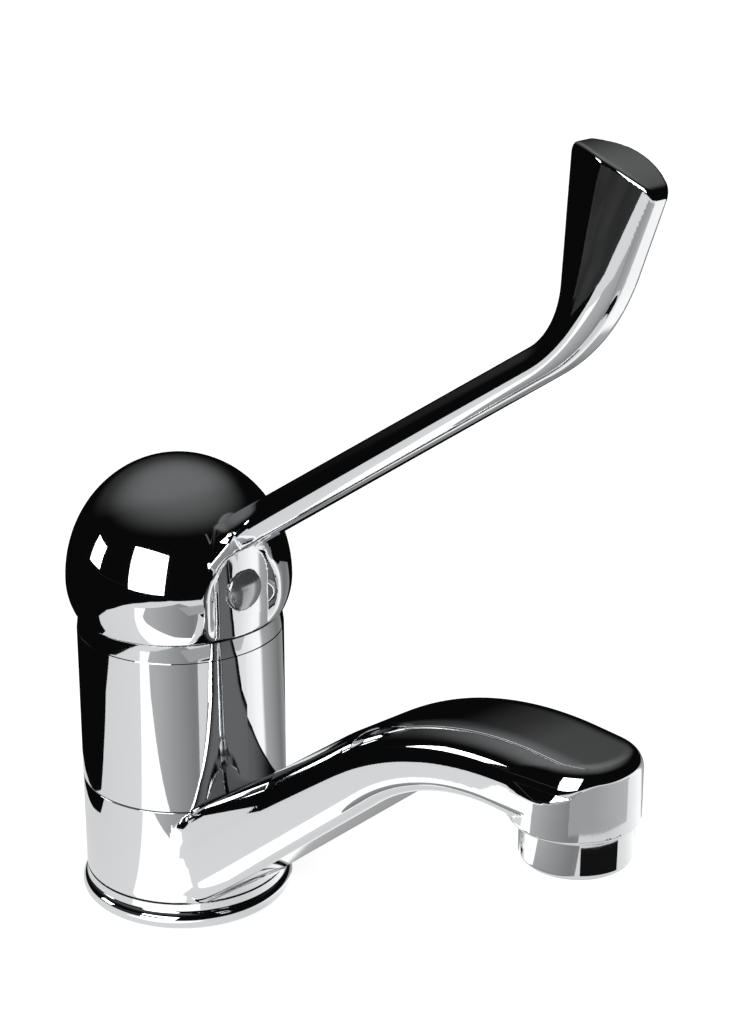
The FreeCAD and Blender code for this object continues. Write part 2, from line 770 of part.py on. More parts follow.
os.makedirs("parts", exist_ok=True)
save("mixer_body", mixer_body())
save("base_ring", base_ring())
save("deck_seal", deck_seal())
save("base_clip", base_clip())
save("swivel_stop_pin", swivel_stop_pin())
save("glide_ring_lower", glide_ring(base_h))
save("glide_ring_upper", glide_ring(shoulder_z - glide_t))
save("spout_seal_lower", spout_seal(ring_z + groove_rise))
save("spout_seal_upper", spout_seal(ring_top - groove_rise))
save("collar_ring", collar_ring())
save("cartridge_nut", cartridge_nut())
save("cartridge_housing", cartridge_housing())
save("cartridge_base", cartridge_base())
save("cartridge_port_seals", cartridge_port_seals())
save("fixed_disc", fixed_disc())
save("spout", spout())
save("aerator_housing", aerator_housing())
save("aerator_insert", aerator_insert())
save("aerator_screen", aerator_screen())
save("aerator_washer", aerator_washer())
save("turret", turret())
save("pivot_pin", pivot_pin())
save("moving_disc", moving_disc())
save("disc_driver", disc_driver())
save("stem", stem())
save("lever_handle", lever_handle())
save("grub_screw", grub_screw())
save("button_cap", button_cap())
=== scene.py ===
import bmesh
import bpy
import math
import numpy as np
from mathutils import Matrix, Vector


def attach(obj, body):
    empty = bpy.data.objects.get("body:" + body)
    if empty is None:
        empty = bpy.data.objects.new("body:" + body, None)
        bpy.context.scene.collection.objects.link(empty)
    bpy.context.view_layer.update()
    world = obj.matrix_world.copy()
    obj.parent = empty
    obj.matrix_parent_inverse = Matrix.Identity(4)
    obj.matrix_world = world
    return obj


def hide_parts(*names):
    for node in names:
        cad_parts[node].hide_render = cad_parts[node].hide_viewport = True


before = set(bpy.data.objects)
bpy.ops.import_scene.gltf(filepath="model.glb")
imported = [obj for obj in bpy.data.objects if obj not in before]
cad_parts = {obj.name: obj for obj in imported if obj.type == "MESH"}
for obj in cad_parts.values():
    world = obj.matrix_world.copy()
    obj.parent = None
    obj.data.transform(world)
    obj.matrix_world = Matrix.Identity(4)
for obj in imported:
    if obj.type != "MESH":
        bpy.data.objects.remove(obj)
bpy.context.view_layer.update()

# Body: brass casting, turned straight outside and chromium plated, standing on the deck.
# It stays the construction's own piece; only its plating is laid on here.


def chrome_plate(name, roughness, marks_depth):
    """Polished chromium: mirror finish with faint cloudiness and polishing marks."""
    plate = bpy.data.materials.new(name)
    plate.use_nodes = True
    nodes, links = plate.node_tree.nodes, plate.node_tree.links
    metal = nodes["Principled BSDF"]
    metal.inputs["Base Color"].default_value = (0.845, 0.86, 0.875, 1)
    metal.inputs["Metallic"].default_value = 1.0
    place = nodes.new("ShaderNodeTexCoord")
    clouds = nodes.new("ShaderNodeTexNoise")
    clouds.inputs["Scale"].default_value = 90
    clouds.inputs["Detail"].default_value = 3
    links.new(place.outputs["Object"], clouds.inputs["Vector"])
    gloss = nodes.new("ShaderNodeMapRange")
    gloss.inputs["To Min"].default_value = roughness * 0.5
    gloss.inputs["To Max"].default_value = roughness * 1.5
    links.new(clouds.outputs["Fac"], gloss.inputs["Value"])
    links.new(gloss.outputs["Result"], metal.inputs["Roughness"])
    marks = nodes.new("ShaderNodeTexNoise")
    marks.inputs["Scale"].default_value = 600
    marks.inputs["Detail"].default_value = 2
    links.new(place.outputs["Object"], marks.inputs["Vector"])
    relief = nodes.new("ShaderNodeBump")
    relief.inputs["Strength"].default_value = marks_depth
    relief.inputs["Distance"].default_value = 0.00002
    links.new(marks.outputs["Fac"], relief.inputs["Height"])
    links.new(relief.outputs["Normal"], metal.inputs["Normal"])
    return plate


body_chrome = chrome_plate("body chrome", 0.035, 0.10)
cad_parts["mixer_body"].data.materials[0] = body_chrome

# Base ring: brass flange turned with a round bead and a short neck, chromium plated.
# It is pressed onto the foot of the body and hides the rubber seal on the deck.
MM = 0.001
turn_steps = 192


def arc(centre_r, centre_z, radius, start, end, steps=6):
    """Points of a rounded corner in a turned profile, angles in degrees."""
    angles = [math.radians(start + (end - start) * k / steps) for k in range(steps + 1)]
    return [(centre_r + radius * math.cos(a), centre_z + radius * math.sin(a)) for a in angles]


def turned_piece(name, profile, material, axis_x=0.0, crease=32):
    """Turn a closed profile of (radius, height) in mm about an upright axis."""
    mesh = bpy.data.meshes.new(name)
    bm = bmesh.new()
    rows = []
    for k in range(turn_steps):
        a = 2 * math.pi * k / turn_steps
        rows.append([bm.verts.new(((axis_x + r * math.cos(a)) * MM, r * math.sin(a) * MM, z * MM))
                     for r, z in profile])
    count = len(profile)
    for k in range(turn_steps):
        here, there = rows[k], rows[(k + 1) % turn_steps]
        for i in range(count):
            j = (i + 1) % count
            bm.faces.new((here[i], there[i], there[j], here[j]))
    bmesh.ops.remove_doubles(bm, verts=bm.verts, dist=1e-7)
    bmesh.ops.recalc_face_normals(bm, faces=bm.faces)
    for face in bm.faces:
        face.smooth = True
    for edge in bm.edges:
        if edge.calc_face_angle(0) > math.radians(crease):
            edge.smooth = False
    bm.to_mesh(mesh)
    bm.free()
    mesh.materials.append(material)
    piece = bpy.data.objects.new(name, mesh)
    bpy.context.scene.collection.objects.link(piece)
    return piece


flange_bore, flange_foot, flange_top, neck_r = 18.45, 0.3, 7.2, 24.95
bead_r, bead_centre, neck_hollow = 2.45, (23.75, 2.75), 0.75
bead = [(flange_bore, flange_foot), (24.3, flange_foot)] + arc(*bead_centre, bead_r, -75, 60, 16)
bead += arc(neck_r + neck_hollow, 5.45, neck_hollow, 215, 180, 4)
bead += [(neck_r, flange_top - 0.15), (neck_r - 0.15, flange_top), (flange_bore, flange_top)]
base_flange = turned_piece("base_flange", bead, body_chrome)
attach(base_flange, "fixed")
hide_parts("base_ring")

# Collar: thin chromed ring screwed down over the cartridge nut, nearly flush with the body.
# The handle's skirt swings just above it.
collar_foot, collar_top, collar_r, collar_bore = 70.7, 75.1, 24.92, 22.7
collar = [(21.6, collar_foot), (24.75, collar_foot), (24.75, 70.92), (collar_r, 71.02), (collar_r, 71.3),
          (24.45, 75.0), (24.35, collar_top), (collar_bore, collar_top), (collar_bore, 71.9), (21.6, 71.9)]
collar_band = turned_piece("collar_band", collar, body_chrome)
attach(collar_band, "fixed")
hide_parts("collar_ring")

# Spout: brass casting of ring, bevelled arm and round head in one, polished and plated.
# The arm leaves the ring in soft fillets; a long crease runs along each side of its flat top.
body_r = 25.0
ring_z, ring_top = 7.5, 32.0


def round_max(a, b, radius):
    """Meet of two solids' fields with the outer edge rounded."""
    return (np.hypot(np.maximum(a + radius, 0), np.maximum(b + radius, 0))
            + np.minimum(np.maximum(a, b) + radius, 0) - radius)


def round_min(a, b, radius):
    """Join of two solids' fields with a fillet in the corner."""
    return -round_max(-a, -b, radius)


def bent_line(x, z, corner, in_deg, out_deg, radius):
    """Distance to the left of a straight run, a bend and a straight run."""
    turn = math.radians(out_deg - in_deg)
    tail = radius * math.tan(abs(turn) / 2)
    side = math.copysign(1, turn)
    i, o = math.radians(in_deg), math.radians(out_deg)
    first = (z - corner[1]) * math.cos(i) - (x - corner[0]) * math.sin(i)
    last = (z - corner[1]) * math.cos(o) - (x - corner[0]) * math.sin(o)
    sx, sz = corner[0] - tail * math.cos(i), corner[1] - tail * math.sin(i)
    cx, cz = sx - side * radius * math.sin(i), sz + side * radius * math.cos(i)
    ex, ez = corner[0] + tail * math.cos(o), corner[1] + tail * math.sin(o)
    bend = side * (radius - np.hypot(x - cx, z - cz))
    past = (x - sx) * math.cos(i) + (z - sz) * math.sin(i) > 0
    short = (x - ex) * math.cos(o) + (z - ez) * math.sin(o) < 0
    return np.where(past & short, bend, np.where(past, last, first))


def through_three(y1, n1, y2, n2, y3, n3):
    """Centre and radius of the circle through three points of a section."""
    a, b = y2 - y1, n2 - n1
    c, d = y3 - y1, n3 - n1
    e, f, g = (a * a + b * b) / 2, (c * c + d * d) / 2, a * d - b * c
    cy, cn = (e * d - b * f) / g, (a * f - e * c) / g
    return y1 + cy, n1 + cn, np.hypot(cy, cn)


def skinned_piece(name, field, low, high, step, material, keep=None):
    """Skin of a solid given as a distance field in mm, as an even net of small faces."""
    low, high = np.array(low, float), np.array(high, float)
    block = 4 * step
    counts = np.ceil((high - low) / block).astype(int)
    grid = np.stack(np.meshgrid(*[np.arange(n) for n in counts], indexing="ij"), -1).reshape(-1, 3)
    middle = low + (grid + 0.5) * block
    near = grid[np.abs(field(*middle.T)) < block * 1.25]
    local = np.stack(np.meshgrid(*[np.arange(4)] * 3, indexing="ij"), -1).reshape(-1, 3)
    cells = (near[:, None] * 4 + local).reshape(-1, 3)
    corners = np.array([[i, j, k] for i in (0, 1) for j in (0, 1) for k in (0, 1)])
    knots = near[:, None] * 4 + np.stack(np.meshgrid(*[np.arange(5)] * 3, indexing="ij"), -1).reshape(-1, 3)
    values = field(*(low + knots.reshape(-1, 3) * step).T).reshape(len(near), 5, 5, 5)
    at = np.stack([values[:, i:i + 4, j:j + 4, k:k + 4].reshape(-1) for i, j, k in corners], -1)
    cross = (at < 0).any(1) & (at >= 0).any(1)
    cells, at = cells[cross], at[cross]
    total, hits = np.zeros((len(cells), 3)), np.zeros(len(cells))
    for p in range(8):
        for q in range(p + 1, 8):
            if abs(corners[p] - corners[q]).sum() == 1:
                a, b = at[:, p], at[:, q]
                cut = (a < 0) != (b < 0)
                share = np.where(cut, a / np.where(cut, a - b, 1), 0)
                total += (corners[p] + (corners[q] - corners[p]) * share[:, None]) * cut[:, None]
                hits += cut
    points = low + (cells + total / hits[:, None]) * step

    def slope(spots):
        return np.stack([(field(*(spots + d).T) - field(*(spots - d).T)) / 0.04 for d in np.eye(3) * 0.02], -1)

    for _ in range(3):
        g = slope(points)
        move = (field(*points.T) / np.maximum((g * g).sum(1), 0.3))[:, None] * g
        points = points - np.clip(move, -step / 2, step / 2)
    normals = slope(points)
    normals /= np.linalg.norm(normals, axis=1)[:, None]

    size = (counts * 4 + 2).astype(np.int64)
    key = (cells[:, 0] * size[1] + cells[:, 1]) * size[2] + cells[:, 2]
    order = np.argsort(key)
    ranked = key[order]
    hops = (size[1] * size[2], size[2], 1)
    inside = at[:, 0] < 0
    quads = []
    for axis in range(3):
        crossed = inside != (at[:, [4, 2, 1][axis]] < 0)
        u, v = hops[(axis + 1) % 3], hops[(axis + 2) % 3]
        ring = np.stack([key, key - u, key - u - v, key - v], -1)[crossed]
        spot = np.searchsorted(ranked, ring).clip(0, len(ranked) - 1)
        found = (ranked[spot] == ring).all(1)
        ring = order[spot][found]
        flip = ~inside[crossed][found]
        ring[flip] = ring[flip][:, ::-1]
        quads.append(ring)
    quads = np.concatenate(quads)
    if keep is not None:
        quads = quads[keep(*points.T)[quads].any(1)]
        used = np.unique(quads)
        index = np.full(len(points), -1)
        index[used] = np.arange(len(used))
        points, normals, quads = points[used], normals[used], index[quads]
    mesh = bpy.data.meshes.new(name)
    mesh.from_pydata((points * MM).tolist(), [], quads.tolist())
    mesh.polygons.foreach_set("use_smooth", [True] * len(mesh.polygons))
    mesh.normals_split_custom_set_from_vertices(normals.tolist())
    mesh.materials.append(material)
    piece = bpy.data.objects.new(name, mesh)
    bpy.context.scene.collection.objects.link(piece)
    return piece


reach, head_x, head_r = 131.6, 130.8, 13.8
outlet_h, arch_under, arch_top = 70.2, 71.05, 87.05
rise_top, rise_under, bend_top, bend_under = 36.6, 39.5, 98, 58
root_half_w, bevel_drop, crease_share, belly_round = 16.2, 6.2, 0.45, 4.4
arm_over_ring, arm_under_ring, body_gap = 27.95, 2.5, 0.35


def spout_field(x, y, z):
    """Arm, head and the arm's foot on the ring; minus inside, in mm."""
    y = np.abs(y)
    top_corner = (body_r + (arch_top - ring_z - arm_over_ring) / math.tan(math.radians(rise_top)), arch_top)
    low_corner = (body_r + (arch_under - ring_z - arm_under_ring) / math.tan(math.radians(rise_under)), arch_under)
    top = bent_line(x, z, top_corner, rise_top, 0, bend_top)
    low = -bent_line(x, z, low_corner, rise_under, 0, bend_under)
    half = root_half_w + (head_r - root_half_w) * np.clip((x - body_r) / (head_x - body_r), 0, 1)
    grown = np.clip((x - 16) / 32, 0.35, 1)
    drop, crease = bevel_drop * grown, half * (1 - (1 - crease_share) * grown)
    cy, cn, cr = through_three(half, -drop, (half + crease) / 2 + 0.16 * (half - crease), -0.34 * drop, crease, 0)
    bevel = np.where(y > cy, np.hypot(y - cy, np.maximum(top - cn, 0)), top - cn) - cr
    side = np.where(x > head_x, np.hypot(x - head_x, y) - head_r, y - half)
    upper = round_max(bevel, top, 0.5)
    shoulder = (1.2 + 2.6 * np.clip((x - head_x + 6) / 8, 0, 1)) * np.clip((top + 9) / 3, 0.01, 1)
    arm = round_max(upper, side, shoulder)
    arm = np.where(x > head_x, np.maximum(arm, low), round_max(arm, low, belly_round))
    head = round_max(np.hypot(x - head_x, y) - head_r, outlet_h - z, 1.2)
    head = np.maximum(head, z - arch_top + 11)
    head_fillet = 1.2 * np.clip((head_x - 4 - x) / 4, 0, 1) * np.clip((arch_under + 4 - z) / 4, 0, 1)
    arm = round_min(arm, head, 0.01 + head_fillet)
    body = np.hypot(x, y) - body_r
    foot_fillet = 0.3 + 3.0 * np.clip((ring_top - z) / 4, 0, 1) * np.clip((z - ring_z) / 6, 0.4, 1)
    joined = round_min(np.maximum(arm, 12 - x), body, foot_fillet)
    above = round_max(arm, body_gap - body, 0.7)
    return np.maximum(np.where(z > ring_top, above, joined), ring_z + 0.05 - z)


spout_chrome = chrome_plate("spout chrome", 0.035, 0.10)
arm_piece = skinned_piece("spout_arm", spout_field, (14, -19, 5), (148, 19, 91), 0.5, spout_chrome,
                          keep=lambda x, y, z: (np.hypot(x, y) > body_r + 0.03) & (x > 0))
ring_bore, edge = 18.5, 0.25
ring = [(ring_bore, ring_z), (body_r - edge, ring_z)] + arc(body_r - edge, ring_z + edge, edge, -90, 0, 3)[1:]
ring += arc(body_r - edge, ring_top - edge, edge, 0, 90, 3) + [(ring_bore, ring_top)]
spout_ring = turned_piece("spout_ring", ring, spout_chrome)
for piece in (arm_piece, spout_ring):
    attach(piece, "spout_body")
    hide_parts("spout")

# Aerator: brass cup turned with a rounded foot and a bright lip, chromium plated.
# It screws up into the head of the spout and holds the insert, the screen and the washer.
aerator_r, aerator_foot, aerator_round = 11.9, 61.4, 1.6
thread_r, thread_top, cup_bore = 10.97, 76.5, 9.58
cup = [(cup_bore, aerator_foot + 0.5), (9.8, aerator_foot + 0.12), (aerator_r - aerator_round, aerator_foot)]
cup += arc(aerator_r - aerator_round, aerator_foot + aerator_round, aerator_round, -90, 0, 8)[1:]
cup += [(aerator_r, outlet_h - 0.3), (aerator_r - 0.3, outlet_h), (thread_r, outlet_h), (thread_r, thread_top),
        (cup_bore, thread_top)]
aerator_cup = turned_piece("aerator_cup", cup, spout_chrome, axis_x=reach)
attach(aerator_cup, "spout_body")
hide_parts("aerator_housing")

# Handle: hollow dome, strap and long bent lever cast in one piece, polished and plated.
# The front is cut back to a shallow arched panel around the button.
rim_z, dome_z, button_z = 75.35, 83.2, 86.95
dome_r, dome_crown, dome_wall = 27.15, 29.8, 3.2
tuck_h, tuck_in = 7.85, 2.1
tuck = (tuck_h ** 2 + tuck_in ** 2) / (2 * tuck_in)
lever_half, blade_w, tip_swell = 4.75, 22.6, 1.9
inner_rise, inner_end, inner_bend = 33.4, 86.5, 19
outer_rise, outer_end, outer_bend = 34.1, 68.8, 50


def line_hit(p, a, q, b):
    """Corner where two edge lines, each a point and an angle in degrees, cross."""
    a, b = math.radians(a), math.radians(b)
    gx, gz = q[0] - p[0], q[1] - p[1]
    s = (gx * math.sin(b) - gz * math.cos(b)) / (math.cos(a) * math.sin(b) - math.sin(a) * math.cos(b))
    return (p[0] + s * math.cos(a), p[1] + s * math.sin(a))


tip_turn = math.radians(-17)
blade_in = (126.0, 209.55)
blade_out = (blade_in[0] + blade_w * math.cos(tip_turn), blade_in[1] + blade_w * math.sin(tip_turn))
inner_corner = line_hit((60, 130.15), inner_rise, blade_in, inner_end)
outer_corner = line_hit((60, 119.95), outer_rise, blade_out, outer_end)
crown_r = (blade_w ** 2 / 4 + tip_swell ** 2) / (2 * tip_swell)
crown_x = (blade_in[0] + blade_out[0]) / 2 + math.sin(tip_turn) * (crown_r - tip_swell)
crown_z = (blade_in[1] + blade_out[1]) / 2 - math.cos(tip_turn) * (crown_r - tip_swell)


def dome_shape(r, z, wall):
    """Crowned dome above its widest line, tucked in below; set in by a wall thickness."""
    wide, tall = dome_r - wall, dome_crown - wall
    h = z - dome_z
    q = np.hypot(r / wide, h / tall)
    upper = (q - 1) * q / np.maximum(np.hypot(r / wide ** 2, h / tall ** 2), 1e-3)
    lower = np.hypot(r - (wide - tuck), h) - tuck
    return np.where(h > 0, upper, lower)


def dome_radius(z):
    """Outside radius of the dome at a height."""
    h = np.clip(z - dome_z, -8.5, 25)
    return np.where(h > 0, dome_r * np.sqrt(1 - (h / dome_crown) ** 2), dome_r - tuck + np.sqrt(tuck ** 2 - h ** 2))


def lever_field(x, y, z):
    """Lever and blade: a thin inner edge, full rounded flanks and a crowned tip."""
    h = lever_half
    inner = bent_line(x, z, inner_corner, inner_rise, inner_end, inner_bend)
    outer = bent_line(x, z, outer_corner, outer_rise, outer_end, outer_bend)
    span = np.maximum(outer - inner, 1)
    widen = np.clip((span - 10) / 12.6, 0, 1)
    bevel = ((y - h) * 0.34 * span + (outer - 0.66 * span) * 0.6 * h) / np.hypot(0.34 * span, 0.6 * h)
    cy, cn, cr = through_three((0.6 - 0.16 * widen) * h, 0, (0.98 - 0.17 * widen) * h,
                               (0.3 - 0.12 * widen) * span, h, 0.66 * span)
    flank = np.hypot(y - cy, outer - cn) - cr
    tip = np.where((z - crown_z > 22) & (x > 110), np.hypot(x - crown_x, z - crown_z) - crown_r, -9)
    side = round_max(bevel, flank, 0.9)
    edges = round_max(np.maximum(inner, -outer), tip, 2.2)
    return np.maximum(round_max(edges, side, 0.8), 16 - x)


strap_half, strap_top, strap_face = 9.3, 102.45, 27.4
panel_half, panel_spread, panel_edge = 8, 2.8, 0.7
button_hole, skirt_bore, boss_r, socket_half = 4.82, 24.45, 9.4, 4.55


def handle_field(x, y, z):
    """Dome, strap and lever in one, with the cut-back front, the button hole and the hollow inside."""
    y = np.abs(y)
    r = np.hypot(x, y)
    shell = round_max(dome_shape(r, z, 0), rim_z - z, 0.5)
    strap = round_max(y - strap_half, ((y - strap_half) * 7.8 + (z - 94.7) * 4.85) / 9.185, 0.4)
    strap = round_max(strap, ((x - 23.5) * 4.85 + (y - strap_half) * 3.9) / 6.22, 0.4)
    strap = round_max(strap, np.maximum(np.maximum(z - strap_top, x - strap_face), 16 - x), 0.5)
    strap = np.maximum(strap, button_z - z)
    whole = round_min(round_min(shell, strap, 0.5), lever_field(x, y, z), 1.2)

    panel_r = body_r - 0.2 * np.clip((80 - z) / 4, 0, 1)
    slant = panel_spread / np.maximum(dome_radius(np.minimum(z, button_z)) - panel_r, 0.25)
    half = panel_half + np.clip(slant * (r - panel_r), -3, panel_spread)
    arch = np.where(z < button_z, y, np.hypot(y, (z - button_z) * half / (8.6 + 0.25 * half))) - half
    recess = np.maximum(np.maximum(arch / np.hypot(1, slant), panel_r - r), -x)
    whole = round_max(whole, -recess, panel_edge)
    hole = np.maximum(np.hypot(y, z - button_z) - button_hole, 23.9 - x)
    whole = round_max(whole, -hole, 0.2)

    skirt = np.maximum(r - skirt_bore + (z - rim_z) * 0.39, z - rim_z - 5.5)
    whole = np.maximum(whole, -np.minimum(dome_shape(r, z, dome_wall), skirt))
    boss = np.maximum(np.maximum(r - boss_r, 81.2 - z), dome_shape(r, z, 2.2))
    socket = np.maximum(np.maximum(np.abs(x), y) - socket_half, z - 95.15)
    return np.maximum(np.minimum(whole, boss), -socket)


handle_chrome = chrome_plate("handle chrome", 0.03, 0.08)
dome = skinned_piece("dome", handle_field, (-29, -29, 73), (37, 29, 116), 0.38, handle_chrome,
                     keep=lambda x, y, z: x < 34.5)
lever = skinned_piece("lever", handle_field, (31, -8, 90), (152, 8, 214), 0.5, handle_chrome,
                      keep=lambda x, y, z: x > 33.5)
for piece in (dome, lever):
    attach(piece, "lever_body")
    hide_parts("lever_handle")

# Button: smoked plastic cap, moulded with a domed face and a short stub.
# It is pressed into the front of the handle over the grub screw.
button_face, button_r, stub_r, stub_l = 23.8, 4.75, 3.2, 4
cap = [(0.01, button_face - stub_l), (stub_r, button_face - stub_l), (stub_r, button_face), (button_r, button_face)]
cap += arc(button_r - 0.3, button_face + 1.4, 0.3, 0, 70, 4)
cap_crown = (4.55 ** 2 + 1.1 ** 2) / 2.2
cap += [(cap_crown * math.sin(t), button_face + 2.75 - cap_crown * (1 - math.cos(t)))
        for t in (math.asin(4.3 / cap_crown) * (1 - k / 10) for k in range(10))] + [(0.01, button_face + 2.75)]
smoked = bpy.data.materials.new("smoked cap")
smoked.use_nodes = True
nodes, links = smoked.node_tree.nodes, smoked.node_tree.links
smoked_shader = nodes["Principled BSDF"]
smoked_shader.inputs["Base Color"].default_value = (0.42, 0.43, 0.44, 1)
smoked_shader.inputs["Metallic"].default_value = 0.85
swirl = nodes.new("ShaderNodeTexNoise")
swirl.inputs["Scale"].default_value = 400
place = nodes.new("ShaderNodeTexCoord")
links.new(place.outputs["Object"], swirl.inputs["Vector"])
sheen = nodes.new("ShaderNodeMapRange")
sheen.inputs["To Min"].default_value = 0.10
sheen.inputs["To Max"].default_value = 0.20
links.new(swirl.outputs["Fac"], sheen.inputs["Value"])
links.new(sheen.outputs["Result"], smoked_shader.inputs["Roughness"])
button = turned_piece("button", cap, smoked)
button.data.transform(Matrix.Translation((0, 0, button_z * MM)) @ Matrix.Rotation(math.pi / 2, 4, "Y"))
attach(button, "lever_body")
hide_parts("button_cap")

# Inner pieces: seals, glide rings, cartridge, stem and pins, mostly hidden in the closed tap.
# Each keeps the construction's mesh and takes the finish of the stuff it is made of.


def inner_finish(name, colour, metallic, rough_low, rough_high, grain, depth, nodes_named):
    """One finish with a slight grain, laid on the named pieces."""
    finish = bpy.data.materials.new(name)
    finish.use_nodes = True
    nodes, links = finish.node_tree.nodes, finish.node_tree.links
    shader = nodes["Principled BSDF"]
    shader.inputs["Metallic"].default_value = metallic
    place = nodes.new("ShaderNodeTexCoord")
    noise = nodes.new("ShaderNodeTexNoise")
    noise.inputs["Scale"].default_value = grain
    noise.inputs["Detail"].default_value = 4
    links.new(place.outputs["Object"], noise.inputs["Vector"])
    tone = nodes.new("ShaderNodeValToRGB")
    tone.color_ramp.elements[0].color = tuple(c * 0.86 for c in colour) + (1,)
    tone.color_ramp.elements[1].color = tuple(min(1, c * 1.1) for c in colour) + (1,)
    links.new(noise.outputs["Fac"], tone.inputs["Fac"])
    links.new(tone.outputs["Color"], shader.inputs["Base Color"])
    rough = nodes.new("ShaderNodeMapRange")
    rough.inputs["To Min"].default_value = rough_low
    rough.inputs["To Max"].default_value = rough_high
    links.new(noise.outputs["Fac"], rough.inputs["Value"])
    links.new(rough.outputs["Result"], shader.inputs["Roughness"])
    relief = nodes.new("ShaderNodeBump")
    relief.inputs["Strength"].default_value = depth
    relief.inputs["Distance"].default_value = 0.0001
    links.new(noise.outputs["Fac"], relief.inputs["Height"])
    links.new(relief.outputs["Normal"], shader.inputs["Normal"])
    for node in nodes_named:
        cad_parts[node].data.materials[0] = finish


inner_finish("black rubber", (0.025, 0.025, 0.027), 0, 0.55, 0.8, 900, 0.5,
             ("deck_seal", "spout_seal_lower", "spout_seal_upper", "cartridge_port_seals", "aerator_washer"))
inner_finish("white bearing plastic", (0.74, 0.74, 0.71), 0, 0.35, 0.5, 500, 0.2,
             ("glide_ring_lower", "glide_ring_upper", "cartridge_housing", "cartridge_base", "turret", "disc_driver",
              "aerator_insert"))
inner_finish("ground ceramic", (0.86, 0.85, 0.82), 0, 0.12, 0.25, 1200, 0.1, ("fixed_disc", "moving_disc"))
inner_finish("machined brass", (0.71, 0.53, 0.27), 1, 0.22, 0.4, 700, 0.3, ("cartridge_nut", "stem"))
inner_finish("bright steel", (0.62, 0.62, 0.61), 1, 0.2, 0.36, 800, 0.25,
             ("base_clip", "swivel_stop_pin", "pivot_pin", "grub_screw", "aerator_screen"))

# Photo table: a plain white painted table top that carries the tap.
# It shows white from the camera and keeps the tap's soft shadow.


def background_sight(nodes, links):
    """One where a camera, glossy or transmission ray looks at the background, nought elsewhere."""
    looks = nodes.new("ShaderNodeLightPath")
    seen = looks.outputs["Is Camera Ray"]
    for ray in ("Is Glossy Ray", "Is Transmission Ray"):
        either = nodes.new("ShaderNodeMath")
        either.operation = "MAXIMUM"
        links.new(seen, either.inputs[0])
        links.new(looks.outputs[ray], either.inputs[1])
        seen = either.outputs["Value"]
    return seen


table = bpy.data.materials.new("white table")
table.use_nodes = True
nodes, links = table.node_tree.nodes, table.node_tree.links
top_paint = nodes["Principled BSDF"]
top_paint.inputs["Roughness"].default_value = 0.9
top_paint.inputs["Specular IOR Level"].default_value = 0.0
top_paint.inputs["Emission Color"].default_value = (1, 1, 1, 1)
grain = nodes.new("ShaderNodeTexNoise")
grain.inputs["Scale"].default_value = 40
tint = nodes.new("ShaderNodeValToRGB")
tint.color_ramp.elements[0].color = (0.79, 0.79, 0.79, 1)
tint.color_ramp.elements[1].color = (0.81, 0.81, 0.81, 1)
links.new(grain.outputs["Fac"], tint.inputs["Fac"])
links.new(tint.outputs["Color"], top_paint.inputs["Base Color"])
lift = nodes.new("ShaderNodeMath")
lift.operation = "MULTIPLY"
lift.inputs[1].default_value = 0.62
links.new(background_sight(nodes, links), lift.inputs[0])
links.new(lift.outputs["Value"], top_paint.inputs["Emission Strength"])


def flat_sheet(name, corners, material, height):
    """A flat sheet from corner points in mm, lying at a height in mm."""
    mesh = bpy.data.meshes.new(name)
    mesh.from_pydata([(x * MM, y * MM, height * MM) for x, y in corners], [], [list(range(len(corners)))])
    mesh.materials.append(material)
    sheet = bpy.data.objects.new(name, mesh)
    bpy.context.scene.collection.objects.link(sheet)
    return sheet


table_top = flat_sheet("table_top", [(-2000, -2000), (2000, -2000), (2000, 2000), (-2000, 2000)], table, -0.2)
table_top.visible_glossy = False
table_top.visible_shadow = False

# Reflection sheets: glowing sheets that stand in for the table in the chrome, a painted reflection in bands of light
# and grey, with painted shade and a painted shadow of the tap in the grey bands.
# They lie under the tap, one just above another, and are seen in the chrome only.


def only_in_chrome(thing):
    """Hide a thing from everything but mirror-bright surfaces."""
    for sight in ("visible_camera", "visible_shadow", "visible_diffuse", "visible_transmission"):
        setattr(thing, sight, False)


def painted_reflection_glow(name, bands):
    """Painted reflection: glow that changes round the body's axis, its darker bands painted shade; bands are
    (degrees from the front, strength).
    """
    glow = bpy.data.materials.new(name)
    glow.use_nodes = True
    nodes, links = glow.node_tree.nodes, glow.node_tree.links
    nodes.clear()
    place = nodes.new("ShaderNodeTexCoord")
    apart = nodes.new("ShaderNodeSeparateXYZ")
    links.new(place.outputs["Object"], apart.inputs["Vector"])
    back = nodes.new("ShaderNodeMath")
    back.operation = "MULTIPLY"
    back.inputs[1].default_value = -1
    links.new(apart.outputs["Y"], back.inputs[0])
    turn = nodes.new("ShaderNodeMath")
    turn.operation = "ARCTAN2"
    links.new(apart.outputs["X"], turn.inputs[0])
    links.new(back.outputs["Value"], turn.inputs[1])
    share = nodes.new("ShaderNodeMapRange")
    share.inputs["From Min"].default_value = -math.pi
    share.inputs["From Max"].default_value = math.pi
    links.new(turn.outputs["Value"], share.inputs["Value"])
    ramp = nodes.new("ShaderNodeValToRGB")
    while len(ramp.color_ramp.elements) < len(bands):
        ramp.color_ramp.elements.new(0.5)
    for stop, (degrees, strength) in zip(ramp.color_ramp.elements, bands):
        stop.position = (degrees + 180) / 360
    for stop, (degrees, strength) in zip(ramp.color_ramp.elements, bands):
        stop.color = (strength, strength, strength, 1)
    links.new(share.outputs["Result"], ramp.inputs["Fac"])
    lamp = nodes.new("ShaderNodeEmission")
    lamp.inputs["Strength"].default_value = 1.25
    links.new(ramp.outputs["Color"], lamp.inputs["Color"])
    out = nodes.new("ShaderNodeOutputMaterial")
    links.new(lamp.outputs["Emission"], out.inputs["Surface"])
    return glow


def ring_part(centre_x, near, far, start, end):
    """Outline of a piece of a flat ring round an upright axis, in mm and degrees from the front."""
    sweep = [math.radians(start + (end - start) * k / 16) for k in range(17)]
    return ([(centre_x + near * math.sin(t), -near * math.cos(t)) for t in sweep]
            + [(centre_x + far * math.sin(t), -far * math.cos(t)) for t in reversed(sweep)])
